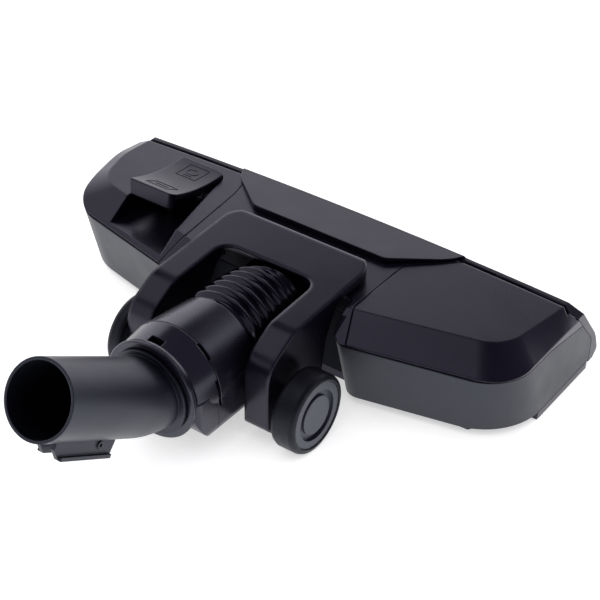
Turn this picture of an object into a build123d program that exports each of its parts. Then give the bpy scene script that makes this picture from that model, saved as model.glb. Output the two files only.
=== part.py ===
from build123d import *
from math import asin, cos, degrees, radians, sin, tan
import os

os.makedirs("parts", exist_ok=True)

# Millimetres. +X runs along the head, +Y points to its front edge, +Z is up.
# The floor is z = 0 and x = 0 is the middle of the head, the fork and the tube.

# Clearances and walls
SEAM_GAP = 0.4        # joint line between two mouldings of one body
RUN_GAP = 0.8         # between faces that move past each other
PIN_FIT = 0.08        # radial, a pin in its bore
SEAT_FIT = 0.15       # radial, a ring or strip in its seat
SLOT_GAP = 0.7        # around a strip that slides in a slot
WALL = 2.2            # outer mouldings
FLOOR_T = 2.5         # floor of the skirt

# Head, leaning outer wall
HEAD_HALF_W = 138.8   # at seam height
END_TAPER = 1.7       # degrees that the ends close in towards the front
END_LEAN = 0.07       # an end moves out this much for each mm of height
LEFT_END_IN = 9.6     # the left end starts this much further in at its rear corner
LEFT_LEAN = 0.06      # and leans out below the seam
BELLY_OUT = 9.0       # and swells out from there
BELLY_Y = 26.0
BELLY_R = 40.0
BELLY_TAPER = 4.0     # degrees, in front of the swell
REAR_Y = -49.8        # where the two swept rear walls would meet, at seam height
REAR_SWEEP = 12.6     # degrees
REAR_LEAN = 0.28
REAR_CORNER_R = 25.0  # at seam height
CORNER_SPREAD = 0.24  # growth of the corner radius for each mm below the seam
SKIRT_Z = 5.0         # lower rim of the skirt
SEAM_Z = 42.0         # joint between skirt and lids
SEAM_DROP_Y = 19.0    # from here to the front the joint falls
SEAM_DROP = 9.0       # degrees
SEAM_BEND_R = 60.0
NOTCH_HALF_W = 47.5   # rear notch that the fork's arms reach through
NOTCH_Y = -14.0
NOTCH_INNER_R = 6.0
NOTCH_OUTER_R = 9.0
HEIGHT_LIMIT = 66.0   # construction solids stop here
FRONT_LIMIT_Y = 95.0

# Head, lids: flat deck and sloping flanks, ends given as (inside the head's half width, y)
DECK_Z = 53.0
DECK_REAR_Y = -33.5
DECK_CORNER_R = 20.0
DECK_RIGHT_END = [(13.6, -3.7), (0.1, FRONT_LIMIT_Y)]
DECK_LEFT_END = [(14.3, -3.8), (7.3, 22.0), (13.8, FRONT_LIMIT_Y)]
FLANK_BASE_Z = 33.0   # the flanks are drawn from here
FLANK_REAR_Y = -63.1
FLANK_CORNER_R = 30.0
FLANK_RIGHT_END = [(-19.2, -27.8), (8.9, FRONT_LIMIT_Y)]
FLANK_LEFT_END = [(-27.2, -26.0), (-45.2, 22.0), (-2.2, FRONT_LIMIT_Y)]
# Joints between the lids and the centre housing, given as (outside the notch, y)
RIGHT_SEAM = [(18.4, -57.3), (10.0, -37.1), (2.9, -19.3), (2.4, 23.7), (7.4, 30.2), (31.4, 49.7)]
LEFT_SEAM = [(20.5, -57.3), (12.1, -36.3), (6.7, -19.8), (11.1, 26.7), (14.1, 39.7), (25.5, 49.7)]

# Head, front cover: bowed nose, top strip and raised hood
BOW_R = 2200.0
CREST_Y = 51.2
CREST_Z = 52.2
STRIP_W = 3.2
GROOVE_W = 2.6        # open groove between the strip and the lids
KNEE = (26.8, 19.5)   # forward of the crest, height
KNEE_R = 30.0
NOSE = (32.3, 7.0)
NOSE_R = 3.0
HEEL = (28.3, 3.2)
STRIP_EDGE_R = 0.6
BAND_T = 4.5          # how far the cover's end caps reach back
BAND_DROP = 3.4       # and how far down at the top strip
BAND_KNEE_R = 8.0
END_CHAMFER_IN = 8.3  # the cover's top corners slope from here, inside the head's half width
END_CHAMFER_OUT = 0.2  # to here, outside it
END_CHAMFER_Z = 42.0
LEDGE_W = 4.5         # shelf under the groove
LEDGE_DROP = 9.0
HOOD_REAR_Y = 20.2
HOOD_REAR_HALF_W = 41.0
HOOD_FRONT_Y = 44.5
HOOD_FRONT_HALF_W = 71.0
HOOD_REAR_Z = 56.56
HOOD_FALL = 4.5       # degrees
HOOD_CORNER_R = 7.0
HOOD_BLEND_R = 25.0

# Sole
SOLE_REAR_Y = -13.0
SOLE_REAR_OUT = 4.5   # outside the notch
SOLE_SWEEP_IN = 26.8  # inside the head's half width
SOLE_SWEEP_Y = -9.0
SOLE_STEP_Y = 18.0    # the sole's end edge starts here
SOLE_STEP_RUN = 18.0
SOLE_FRONT = 21.5     # forward of the crest
SOLE_FRONT_BOW = 4.0
MOUTH_HALF_W = 33.0
MOUTH_Y = (22.0, 44.0)
CHANNEL_END_IN = 20.8
CHANNEL_W = 12.0
CHANNEL_DEPTH = 2.2
LINT_BESIDE_MOUTH = 7.0
LINT_END_IN = 34.8
LINT_Y = 48.5
LINT_W = 4.4
LINT_DEPTH = 1.6
LINT_SUNK = 0.4       # the pile stays above the floor
SCREW_END_IN = 16.8
SCREW_FRONT_IN = 24.8
SCREW_BESIDE_MOUTH = 13.0
SCREW_Y = (30.0, 66.0, 16.5)  # end, front and mouth pair
SCREW_R = 1.6
SCREW_HEAD_R = 3.4
SCREW_HEAD_H = 2.0
SCREW_SUNK = 0.3
SCREW_L = 12.0
SLOT_L = 3.6          # driver slot
SLOT_W = 1.0
SLOT_DEPTH = 0.9
BOSS_R = 4.2
BOSS_H = 12.0

# Brush carrier
BRUSH_END_IN = 32.8
REAR_BRUSH_IN = 8.0   # the rear strip and the lip are shorter by this at each end
FRONT_BRUSH_Y = 60.0
REAR_BRUSH_Y = 5.5
BRUSH_W = 6.0
BRUSH_TIP_Z = 1.2
CARRIER_Z = 14.5
CARRIER_T = 3.0
CARRIER_BAR_W = 9.0
CARRIER_ARM_X = 84.0
CARRIER_ARM_W = 12.0
BACKING_T = 3.5       # bar that holds the tufts
TUFT_PITCH = 8.0
TUFT_GAP = 1.6
LIP_T = 1.6
LIP_Y = -6.0
LIP_NOTCH_PITCH = 24.0
LIP_NOTCH_W = 4.0
LIP_NOTCH_H = 3.0
POST_R = 3.0
POST_Y = 30.0
POST_Z = 24.0
SPRING_R = 4.6
SPRING_WIRE = 0.45
SPRING_TURNS = 2

# Air duct
DUCT_T = 2.0
DUCT_HALF_W = 36.0
DUCT_REAR_Y = 13.0
DUCT_FRONT_LAND = 3.0  # in front of the mouth
DUCT_TOP_Z = 49.0
DUCT_SHOULDER_Z = 24.0
DUCT_SLOPE_RUN = 20.0
DUCT_THROAT_H = 8.0
SPIGOT_R = 14.45
SPIGOT_REAR_Y = -15.0

# Corrugated hose
HOSE_REAR_Y = -71.0
HOSE_FRONT_Y = -10.0
HOSE_FALL = 2.0       # degrees
HOSE_CREST = [(-71.0, 24.9), (-41.0, 24.7), (-30.0, 23.8), (-24.0, 21.6), (-19.0, 19.4), (-15.5, 18.6),
              (-10.0, 18.6)]  # y and radius
HOSE_RIB = 3.0        # crest to root
HOSE_WALL = 1.0
HOSE_RIBS = 8
HOSE_RIB_START = -62.4
HOSE_PITCH = 5.95
HOSE_HOLE_R = 22.5    # way through the head's rear wall

# Pedal in the left lid
PEDAL_X = (-101.5, -73.0)
PEDAL_REAR_Y = -7.8
PEDAL_FRONT_Y = 36.7
PEDAL_LIP_Z = 63.0
PEDAL_SADDLE = (12.7, 57.2)
PEDAL_FRONT_Z = 55.4
PEDAL_EDGE_T = 3.0    # at the front
PEDAL_UNDER_Z = 54.0
PEDAL_LIP_LEAN = 0.6
PEDAL_LIP_EDGE = 0.9
PEDAL_LIP_T = 2.8
PEDAL_PIVOT = (20.7, 48.5)
PEDAL_BELLY = [(6.0, 3.4), (-6.0, 3.4), (-14.7, 6.5), (-25.3, 10.5)]  # from the pivot
PEDAL_CORNERS = [1.0, 2.0, 4.3, 5.0]  # rear left, front left, front right, rear right
PEDAL_PIN_R = 1.5
PEDAL_BOSS_R = 4.2
PEDAL_PIN_SEAT = 2.3  # length of the pin in each wall
TONGUE_W = 6.0
TONGUE_T = 2.0
PUSH_POST = (-87.0, 8.0)
PUSH_POST_R = 2.5
PUSH_POST_Z = 43.5
POCKET_GAP = 0.7
POCKET_BESIDE = 13.7  # right wall at the rear, outside the notch
POCKET_BEND_Y = (-20.0, 30.0)
POCKET_BEND_R = 14.0
POCKET_FLOOR = [(-63.0, 45.6), (-19.0, 43.4), (6.0, 41.0)]
POCKET_DEEP_Z = 38.0  # under the pedal

# Fork
FORK_HALF_W = 43.3
FORK_WINDOW_HALF_W = 29.0
FORK_WINDOW_Y = -20.2
FORK_WINDOW_R = 9.0
FORK_FRONT_Y = 9.0
FORK_FRONT_R = 12.0
FORK_TOP = [(FORK_FRONT_Y, 61.0), (-59.0, 57.0)]
FORK_REAR_Y = -79.0
FORK_SHOULDER_Z = 46.0
FORK_BOTTOM_Z = 8.0
FORK_BAR_Z = 55.0     # lower edge of the front bar's sides
FORK_INNER = [(-45.0, FORK_BOTTOM_Z), (-37.0, 15.0), (-33.0, 38.0), (-24.0, FORK_BAR_Z)]
FORK_ROUNDS = [3.0, 16.0, 16.0, 4.0, 6.0, 5.0, 14.0, 8.0, 0]  # corner radii of the side view
FORK_BAR_T = 2.2
FORK_SIDE_T = 2.4
FORK_HOLLOW_FALL = 1.8
FORK_PIVOT = (-4.0, 43.5)
FORK_EAR_X = (31.0, 36.0)
FORK_EAR_R = 6.0
FORK_PIN_R = 2.5
BEARING_T = 3.0
BEARING_REACH = 7.0
EAR_SLOT_PLAY = 2.0   # extra length of the slots that the ears swing in

# Wheels and axles
WHEEL_Y = -65.2
WHEEL_R = 20.7
WHEEL_OUT_X = 62.2    # right wheel
WHEEL_W = 13.4
LEFT_WHEEL_OUT_X = 52.5  # the left wheel is narrower and runs close to the fork
LEFT_WHEEL_W = 8.2
TYRE_BORE_R = 17.6
TYRE_EDGE_R = 2.2
HUB_RING_R = (10.2, 13.4)
HUB_RING_DEPTH = 1.8
HUB_SUNK = 0.4        # hub face behind the tyre
HUB_DISC_SUNK = 0.3
HUB_BACK = 2.0
HUB_BOSS_R = 7.0
AXLE_R = 3.0
AXLE_IN_X = 22.5
AXLE_COVER = 5.2      # hub in front of the axle's end

# Neck
NECK_Z = 36.6
NECK_FRONT_Y = -65.4
NECK_SEAM_Y = -95.0
NECK_FLARE_Y = -109.4
NECK_REAR_Y = -113.3
NECK_FRONT_R = 24.3
NECK_SEAM_R = 27.0
NECK_FLARE_R = 25.3
NECK_REAR_R = 26.6
NECK_WALL = 2.4
NECK_FOOT_IN = 0.8    # foot's flanks inside the largest radius
NECK_FOOT_Z = 10.0
NECK_FOOT_R = 8.0
NECK_FOOT_PLAN_R = 4.0
NECK_FOOT_REAR_Y = -111.2
NECK_HEEL_R = 22.0
NECK_EAR_R = 11.0
BEZEL_R = 26.0
BEZEL_L = 1.4
BEZEL_EDGE = 0.5
BEZEL_SPIGOT_L = 5.0
WINDOW_SIZE = (8.0, 4.0)
WINDOW_Y = -107.4
SLIT_TURN = 42.6      # degrees from the top, latch slit beside the joint
SLIT_SIZE = (9.5, 2.0)
LATCH_W = 6.5
LATCH_T = 1.2
LATCH_Y = (-99.0, -93.0)
FLANK_SLOT = [(-96.9, 43.6), (-95.0, 43.6), (-92.4, 27.7), (-94.3, 27.7)]

# Elbow tube
TUBE_BORE_R = 17.5
TUBE_WALL = 1.5
TUBE_RISE = 31.0      # degrees above the floor
TUBE_STRAIGHT = 66.0
BEND_R = 40.0
BEND_VERTEX_Y = -119.5
ELBOW_FRONT_Y = -84.0
FLANGE_R = 21.2
FLANGE_W = 3.0
COLLAR_R = 22.4
COLLAR_W = 1.3
SEAL_W = 3.0
SEAL_PLAY = 1.0
SEAL_R = 22.2
HOOK_S = (15.0, 59.5)  # from the mouth along the tube
HOOK_DEPTH = 27.0      # below the tube's axis
HOOK_HALF_W = 5.4
HOOK_PLATE_T = 2.2
HOOK_LIP = 1.5
HOOK_LIP_T = 2.0
HOOK_NOSE = 5.0
HOOK_HEEL = 2.0
HOOK_BLOCK_L = 12.0   # solid length at the back of the rails
HOOK_BOSS = (47.8, 20.5)  # along the tube, below its axis
HOOK_BOSS_R = 2.0
HOOK_BOSS_H = 0.7
HOOK_BOSS_BORE_R = 0.9

# Derived places
FAR = 2 * HEAD_HALF_W   # beyond everything, for cutting solids
SOLE_T = SKIRT_Z - SEAM_GAP
BRUSH_HALF_W = HEAD_HALF_W - BRUSH_END_IN
REAR_BRUSH_HALF_W = BRUSH_HALF_W - REAR_BRUSH_IN
LINT_X = (MOUTH_HALF_W + LINT_BESIDE_MOUTH, HEAD_HALF_W - LINT_END_IN)
SCREW_X = (HEAD_HALF_W - SCREW_END_IN, HEAD_HALF_W - SCREW_FRONT_IN, MOUTH_HALF_W + SCREW_BESIDE_MOUTH)
SHELL_REAR_Y = NECK_REAR_Y + BEZEL_L + SEAM_GAP
TUBE_R = TUBE_BORE_R + TUBE_WALL
WHEEL_Z = WHEEL_R
FLOOR_TOP = SKIRT_Z + FLOOR_T
SWEEP_TAN = tan(radians(REAR_SWEEP))
CARRIER_TOP = CARRIER_Z + CARRIER_T
AXLE_MID = (WHEEL_Y, WHEEL_Z)


def rounded(points, radii):
    """Closed outline through the points, each corner rounded by its own radius (0 is sharp)."""
    edges = []
    corners = []
    for i, (point, radius) in enumerate(zip(points, radii)):
        here = Vector(*point)
        back = (Vector(*points[i - 1]) - here).normalized()
        ahead = (Vector(*points[(i + 1) % len(points)]) - here).normalized()
        half_angle = radians(back.get_angle(ahead)) / 2
        reach = radius / tan(half_angle)
        middle = here + (back + ahead).normalized() * (radius / sin(half_angle) - radius)
        corners.append((here + back * reach, middle, here + ahead * reach))
    for i, (start, middle, end) in enumerate(corners):
        if radii[i]:
            edges.append(ThreePointArc(start, middle, end))
        edges.append(Line(end, corners[(i + 1) % len(corners)][0]))
    return make_face(edges)


def plan(outline, z_low, z_high):
    """Upright prism over a plan outline given as a face."""
    return Pos(0, 0, z_low) * extrude(outline, amount=z_high - z_low, dir=(0, 0, 1))


def side(outline, x_low, x_high):
    """Prism along X over an outline drawn in y and z."""
    return extrude(Plane.YZ.offset(x_low) * outline, amount=x_high - x_low)


def block(x_range, y_range, z_range):
    size = [high - low for low, high in (x_range, y_range, z_range)]
    middle = [(low + high) / 2 for low, high in (x_range, y_range, z_range)]
    return Pos(*middle) * Box(*size)


def rod_x(radius, yz, x_low, x_high):
    return Pos((x_low + x_high) / 2, *yz) * Rot(0, 90, 0) * Cylinder(radius, x_high - x_low)


def rod_y(radius, z, y_low, y_high):
    return Pos(0, (y_low + y_high) / 2, z) * Rot(90, 0, 0) * Cylinder(radius, y_high - y_low)


def rod_z(radius, xy, z_low, z_high):
    return Pos(*xy, (z_low + z_high) / 2) * Cylinder(radius, z_high - z_low)


def turned_y(points, z, y_origin=0.0):
    """Solid of revolution about a line along Y at height z; points are (y, radius)."""
    outline = make_face(Polyline(*[(0, y_origin + y, z + r) for y, r in points], close=True))
    return revolve(outline, axis=Axis((0, 0, z), (0, 1, 0)))


def turned_x(points, yz):
    """Solid of revolution about a line along X through (y, z); points are (x, radius)."""
    y, z = yz
    outline = make_face(Polyline(*[(x, y, z + r) for x, r in points], close=True))
    return revolve(outline, axis=Axis((0, y, z), (1, 0, 0)))


def mirrored(points):
    """Right half of an outline, given from the back to the front, closed by its mirror image."""
    return points + [(-x, y) for x, y in reversed(points)]


def both_sides(shape):
    return [shape, mirror(shape, about=Plane.YZ)]


def write(shape, name):
    export_step(shape, f"parts/{name}.step")


# Head forms shared by the skirt, the lids and the front cover

def wall_form(inset, z_low, notch=True):
    """Mass inside the leaning outer wall, moved in by inset."""
    def half_outline(z, s):
        depth = SEAM_Z - z
        rear_y = REAR_Y + REAR_LEAN * depth + inset / cos(radians(REAR_SWEEP))
        left_in = LEFT_END_IN - LEFT_LEAN * depth
        end_x = HEAD_HALF_W - inset - (END_LEAN * depth if s > 0 else left_in)
        corner_y = rear_y + SWEEP_TAN * end_x
        points = [(end_x, corner_y)]
        radii = [REAR_CORNER_R + CORNER_SPREAD * depth - inset, 0]
        if s < 0:
            points.append((end_x + BELLY_OUT, BELLY_Y))
            radii.insert(1, BELLY_R)
        last_x, last_y = points[-1]
        taper = END_TAPER if s > 0 else BELLY_TAPER
        points.append((last_x - tan(radians(taper)) * (FRONT_LIMIT_Y - last_y), FRONT_LIMIT_Y))
        start_x = NOTCH_HALF_W + inset if notch else NOTCH_HALF_W
        points.insert(0, (start_x, rear_y + SWEEP_TAN * start_x))
        radii.insert(0, NOTCH_OUTER_R - inset if notch else 0)
        if notch:
            points.insert(0, (start_x, NOTCH_Y + inset))
            radii.insert(0, NOTCH_INNER_R + inset)
        return [(s * x, y) for x, y in points], radii

    def outline(z):
        right, right_radii = half_outline(z, 1)
        left, left_radii = half_outline(z, -1)
        return Pos(0, 0, z) * rounded(right + left[::-1], right_radii + left_radii[::-1])
    return loft([outline(z_low), outline(HEIGHT_LIMIT)], ruled=True)


def lid_form(drop):
    """Mass under the flat deck and its sloping flanks, lowered by drop."""
    def outline(z, rear_y, right, left, corner_r):
        points = [(0, rear_y)] + [(HEAD_HALF_W - x, y) for x, y in right]
        points += [(x - HEAD_HALF_W, y) for x, y in left[::-1]]
        return Pos(0, 0, z - drop) * rounded(points, [0, corner_r, 0, 0, BELLY_R, corner_r])
    base = outline(FLANK_BASE_Z, FLANK_REAR_Y, FLANK_RIGHT_END, FLANK_LEFT_END, FLANK_CORNER_R)
    deck = outline(DECK_Z, DECK_REAR_Y, DECK_RIGHT_END, DECK_LEFT_END, DECK_CORNER_R)
    return loft([base, deck], ruled=True) + below_flanks(drop)


def below_flanks(drop):
    """Everything under the height where the flanks are drawn from."""
    return block((-FAR, FAR), (-FAR, FAR), (-FAR, FLANK_BASE_Z - drop))


def head_form(inset, z_low):
    return wall_form(inset, z_low) & lid_form(inset)


def above_seam(offset):
    """Space above the joint between skirt and lids, which falls towards the front."""
    fall = tan(radians(SEAM_DROP)) * (FRONT_LIMIT_Y - SEAM_DROP_Y)
    points = [(-FAR, SEAM_Z + offset), (SEAM_DROP_Y, SEAM_Z + offset),
              (FRONT_LIMIT_Y, SEAM_Z + offset - fall), (FRONT_LIMIT_Y, FAR), (-FAR, FAR)]
    return side(rounded(points, [0, SEAM_BEND_R, 0, 0, 0]), -FAR, FAR)


def bowed(points, radii=None):
    """Solid of a side profile, drawn from the crest, carried along the bowed front edge."""
    axis = Axis((0, CREST_Y - BOW_R, 0), (0, 0, 1))
    half_turn = degrees(asin(1.1 * HEAD_HALF_W / BOW_R))
    outline = Plane.YZ * rounded([(CREST_Y + y, z) for y, z in points], radii or [0] * len(points))
    return revolve(outline.rotate(axis, -half_turn), axis=axis, revolution_arc=2 * half_turn)


BAND_BACK = [(HEEL[0] - BAND_T, HEEL[1]), (KNEE[0] - BAND_T, KNEE[1]), (-STRIP_W, CREST_Z - BAND_DROP)]


def front_space():
    """What the lids and the skirt leave free for the front cover."""
    groove = -STRIP_W - GROOVE_W
    back = [(y - SEAM_GAP, z) for y, z in BAND_BACK]
    points = [(back[0][0], -SKIRT_Z), *back, (groove, back[2][1]), (groove, FAR), (FRONT_LIMIT_Y, FAR),
              (FRONT_LIMIT_Y, -SKIRT_Z)]
    return bowed(points, [0, 0, BAND_KNEE_R, 0, 0, 0, 0, 0])


FRONT_SPACE = front_space()
FULL_HEAD = head_form(0, SKIRT_Z)
HEAD_ROOM = head_form(WALL, FLOOR_TOP)
HEAD_SHELL = FULL_HEAD - HEAD_ROOM - FRONT_SPACE
HOSE_AXIS = Plane(origin=(0, HOSE_REAR_Y, NECK_Z), x_dir=(1, 0, 0),
                  z_dir=(0, cos(radians(HOSE_FALL)), -sin(radians(HOSE_FALL))))
HOSE_L = (HOSE_FRONT_Y - HOSE_REAR_Y) / cos(radians(HOSE_FALL))
HOSE_WAY = HOSE_AXIS * Pos(0, 0, HOSE_L / 2) * Cylinder(HOSE_HOLE_R, 1.2 * HOSE_L)


def strip_slot(y, half_w, width):
    """Slot through floor and sole for a strip of the brush carrier."""
    reach = width / 2 + SLOT_GAP
    return block((-half_w - SLOT_GAP, half_w + SLOT_GAP), (y - reach, y + reach), (-1, FLOOR_TOP + 1))


STRIPS = [(FRONT_BRUSH_Y, BRUSH_HALF_W, BRUSH_W), (REAR_BRUSH_Y, REAR_BRUSH_HALF_W, BRUSH_W),
          (LIP_Y, REAR_BRUSH_HALF_W, LIP_T)]
SLOTS = [strip_slot(*strip) for strip in STRIPS]
MOUTH = block((-MOUTH_HALF_W, MOUTH_HALF_W), MOUTH_Y, (-1, FLOOR_TOP + 1))
SCREWS_XY = [(s * x, y) for x, y in zip(SCREW_X, SCREW_Y) for s in (1, -1)]


def make_skirt():
    """Lower housing: leaning walls, floor, screw bosses and guide posts of the brush carrier."""
    skirt = HEAD_SHELL - above_seam(-SEAM_GAP / 2)
    for spot in SCREWS_XY:
        skirt += rod_z(BOSS_R, spot, FLOOR_TOP - 1, FLOOR_TOP + BOSS_H)
        skirt -= rod_z(SCREW_R + SEAT_FIT, spot, 0, SCREW_L + 1)
    for s in (1, -1):
        skirt += rod_z(POST_R, (s * CARRIER_ARM_X, POST_Y), FLOOR_TOP - 1, POST_Z)
    for slot in SLOTS:
        skirt -= slot
    return skirt - MOUTH - HOSE_WAY


def seam_zone(shrink):
    """Plan of the centre housing between the two lids."""
    left = [(-NOTCH_HALF_W - x, y) for x, y in LEFT_SEAM]
    right = [(NOTCH_HALF_W + x, y) for x, y in RIGHT_SEAM]
    outline = make_face(Polyline(*left, *reversed(right), close=True))
    if shrink:
        outline = offset(outline, amount=-shrink)
    return plan(outline, 0, HEIGHT_LIMIT)


UPPER_SHELL = HEAD_SHELL & above_seam(SEAM_GAP / 2)


def fork_bearings():
    """Ribs under the deck that hold the fork's two pins."""
    y, z = FORK_PIVOT
    ribs = []
    for s in (1, -1):
        for x in (FORK_EAR_X[0] - RUN_GAP - BEARING_T / 2, FORK_EAR_X[1] + RUN_GAP + BEARING_T / 2):
            across = (s * x - BEARING_T / 2, s * x + BEARING_T / 2)
            ribs.append(block(across, (y - BEARING_REACH, y + BEARING_REACH), (z - BEARING_REACH, DECK_Z)))
    return ribs


def make_centre_housing():
    """Middle of the upper housing: deck, fork bearings, ear slots and the way in for the hose."""
    y, z = FORK_PIVOT
    housing = UPPER_SHELL & seam_zone(SEAM_GAP)
    for rib in fork_bearings():
        housing += rib
    ear_room = FORK_EAR_R + RUN_GAP
    slot_x = (FORK_EAR_X[0] - RUN_GAP, FORK_EAR_X[1] + RUN_GAP)
    length = ear_room + EAR_SLOT_PLAY
    slot = block(slot_x, (y - length, y + length), (z - ear_room, HEIGHT_LIMIT))
    for cut in both_sides(slot):
        housing -= cut
    housing -= rod_x(FORK_PIN_R + SEAT_FIT, FORK_PIVOT, -FORK_HALF_W, FORK_HALF_W)
    return housing - HOSE_WAY


def pocket_form(grow):
    """Pedal recess, open at the rear, grown by a wall all round."""
    left = PEDAL_X[0] - POCKET_GAP - grow
    front = PEDAL_FRONT_Y + POCKET_GAP + grow
    right_front = PEDAL_X[1] + POCKET_GAP + grow
    right_rear = -NOTCH_HALF_W - POCKET_BESIDE + grow
    (y0, z0), (y1, z1), (y2, z2) = POCKET_FLOOR
    bend_rear, bend_front = POCKET_BEND_Y
    points = [(left, y0), (left, front), (right_front, front), (right_front, bend_front),
              (right_rear, bend_rear), (right_rear, y0)]
    corner = [PEDAL_CORNERS[i] + POCKET_GAP + grow for i in (1, 2)]
    outline = rounded(points, [0, *corner, POCKET_BEND_R + grow, POCKET_BEND_R - grow, 0])
    floor = [(y0, z0 - grow), (y1, z1 - grow), (y2 - grow, z2 - grow), (y2 - grow, POCKET_DEEP_Z - grow),
             (front, POCKET_DEEP_Z - grow), (front, FAR), (y0, FAR)]
    return plan(outline, 0, FAR) & side(make_face(Polyline(*floor, close=True)), -FAR, 0)


POCKET = pocket_form(0)


def make_left_cover():
    """Left lid with the moulded recess for the pedal."""
    allowed = (FULL_HEAD & above_seam(SEAM_GAP / 2)) + head_form(WALL + SEAM_GAP, FLOOR_TOP)
    cover = UPPER_SHELL - seam_zone(0) - block((0, FAR), (-FAR, FAR), (0, FAR))
    cover += pocket_form(WALL) & allowed - seam_zone(0) - FRONT_SPACE
    cover -= POCKET
    cover -= rod_z(PUSH_POST_R + RUN_GAP, PUSH_POST, POCKET_DEEP_Z - 2 * WALL, PUSH_POST_Z)
    seat = PEDAL_PIN_SEAT + SEAT_FIT
    return cover - rod_x(PEDAL_PIN_R + SEAT_FIT, PEDAL_PIVOT, PEDAL_X[0] - seat, PEDAL_X[1] + seat)


def make_right_cover():
    return UPPER_SHELL - seam_zone(0) - block((-FAR, 0), (-FAR, FAR), (0, FAR))


def end_chamfer():
    """Space under the sloping top corners of the front cover's ends."""
    x_top = HEAD_HALF_W - END_CHAMFER_IN
    x_out = HEAD_HALF_W + END_CHAMFER_OUT
    slope = (CREST_Z - END_CHAMFER_Z) / (x_out - x_top)
    right = [(x_out + END_CHAMFER_Z / slope, 0), (x_top, CREST_Z), (x_top, HEIGHT_LIMIT)]
    outline = make_face(Polyline(*mirrored(right), close=True))
    return extrude(Plane.XZ.offset(-FRONT_LIMIT_Y) * outline, amount=2 * FRONT_LIMIT_Y)


def make_hood():
    """Raised hood in front of the fork: flat foot on the deck, top falling into the nose slope."""
    front_y = CREST_Y + KNEE[0]
    half = [(HOOD_REAR_HALF_W, HOOD_REAR_Y), (HOOD_FRONT_HALF_W, HOOD_FRONT_Y), (HOOD_FRONT_HALF_W, front_y)]
    radii = [HOOD_CORNER_R, HOOD_BLEND_R, 0]
    hood_plan = rounded(mirrored(half), radii + radii[::-1])
    rear_y = HOOD_REAR_Y - HOOD_CORNER_R
    fall = tan(radians(HOOD_FALL)) * (front_y - rear_y)
    top = [(rear_y, 0), (rear_y, HOOD_REAR_Z), (front_y, HOOD_REAR_Z - fall), (front_y, 0)]
    slope = KNEE[0] / (CREST_Z - KNEE[1])
    over = HEIGHT_LIMIT - CREST_Z
    back_y = -CREST_Y
    under_slope = bowed([(back_y, 0), (back_y, HEIGHT_LIMIT), (-over * slope, HEIGHT_LIMIT), KNEE,
                         (KNEE[0], 0)])
    front_part = bowed([(-STRIP_W, 0), (-STRIP_W, HEIGHT_LIMIT), (KNEE[0], HEIGHT_LIMIT), (KNEE[0], 0)])
    hood = plan(hood_plan, DECK_Z + SEAM_GAP, HEIGHT_LIMIT)
    hood += plan(hood_plan, CREST_Z - WALL, HEIGHT_LIMIT) & front_part
    return hood & side(make_face(Polyline(*top, close=True)), -FAR, FAR) & under_slope


def make_front_cover():
    """Bowed nose with end caps, top strip, shelf under the groove and the raised hood."""
    skin = [(-STRIP_W, CREST_Z), (0, CREST_Z), KNEE, NOSE, HEEL]
    skin_radii = [STRIP_EDGE_R, STRIP_EDGE_R, KNEE_R, NOSE_R, STRIP_EDGE_R, 0, BAND_KNEE_R, 0]
    room = [(-WALL / 2, CREST_Z - WALL), (KNEE[0] - WALL, KNEE[1] - WALL / 4), (NOSE[0] - WALL, NOSE[1]),
            (HEEL[0] - WALL, -SKIRT_Z), (-CREST_Y, -SKIRT_Z), (-CREST_Y, CREST_Z - WALL)]
    cover = bowed(skin + BAND_BACK, skin_radii) & wall_form(0, 0, notch=False)
    hollow = bowed(room, [0, KNEE_R - WALL, NOSE_R / 2, 0, 0, 0]) & wall_form(WALL, -1, notch=False)
    cover -= hollow & Pos(0, 0, -WALL) * end_chamfer()
    shelf_z = CREST_Z - LEDGE_DROP
    back_y = -STRIP_W - LEDGE_W
    web_y = -STRIP_W + WALL
    shelf = bowed([(back_y, shelf_z - WALL), (web_y, shelf_z - WALL), (web_y, CREST_Z - WALL / 2),
                   (-STRIP_W, CREST_Z - WALL / 2), (-STRIP_W, shelf_z), (back_y, shelf_z)])
    cover += shelf & wall_form(WALL + SEAM_GAP, 0, notch=False) & lid_form(WALL + SEAM_GAP)
    return (cover & end_chamfer()) + make_hood()


def sole_outline():
    """Plan of the sole, wider than the head; the head's own outline trims its ends."""
    wide = HEAD_HALF_W + SOLE_STEP_RUN
    front_y = CREST_Y + SOLE_FRONT
    sweep_x = HEAD_HALF_W - SOLE_SWEEP_IN
    half = [(NOTCH_HALF_W + SOLE_REAR_OUT, SOLE_REAR_Y), (sweep_x, SOLE_SWEEP_Y),
            (sweep_x + SOLE_STEP_RUN, SOLE_STEP_Y), (wide, SOLE_STEP_Y), (wide, front_y - SOLE_FRONT_BOW)]
    return make_face(Polyline(*half, (0, front_y), *[(-x, y) for x, y in reversed(half)], close=True))


def make_sole_plate():
    """Glide sole with the suction mouth, air channels, brush slots and seats for the lint strips."""
    sole = plan(sole_outline(), 0, SOLE_T) & wall_form(0, -1, notch=False)
    for slot in SLOTS:
        sole -= slot
    sole -= MOUTH
    channel_y = (sum(MOUTH_Y) / 2 - CHANNEL_W / 2, sum(MOUTH_Y) / 2 + CHANNEL_W / 2)
    channel_x = HEAD_HALF_W - CHANNEL_END_IN
    sole -= block((-channel_x, channel_x), channel_y, (-1, CHANNEL_DEPTH))
    for s in (1, -1):
        seat_x = sorted((s * (LINT_X[0] - SEAT_FIT), s * (LINT_X[1] + SEAT_FIT)))
        reach = LINT_W / 2 + SEAT_FIT
        sole -= block(seat_x, (LINT_Y - reach, LINT_Y + reach), (-1, LINT_DEPTH))
    for spot in SCREWS_XY:
        sole -= rod_z(SCREW_R + SEAT_FIT, spot, -1, SOLE_T + 1)
        sole -= rod_z(SCREW_HEAD_R + SEAT_FIT, spot, -1, SCREW_HEAD_H)
    return sole


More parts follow.
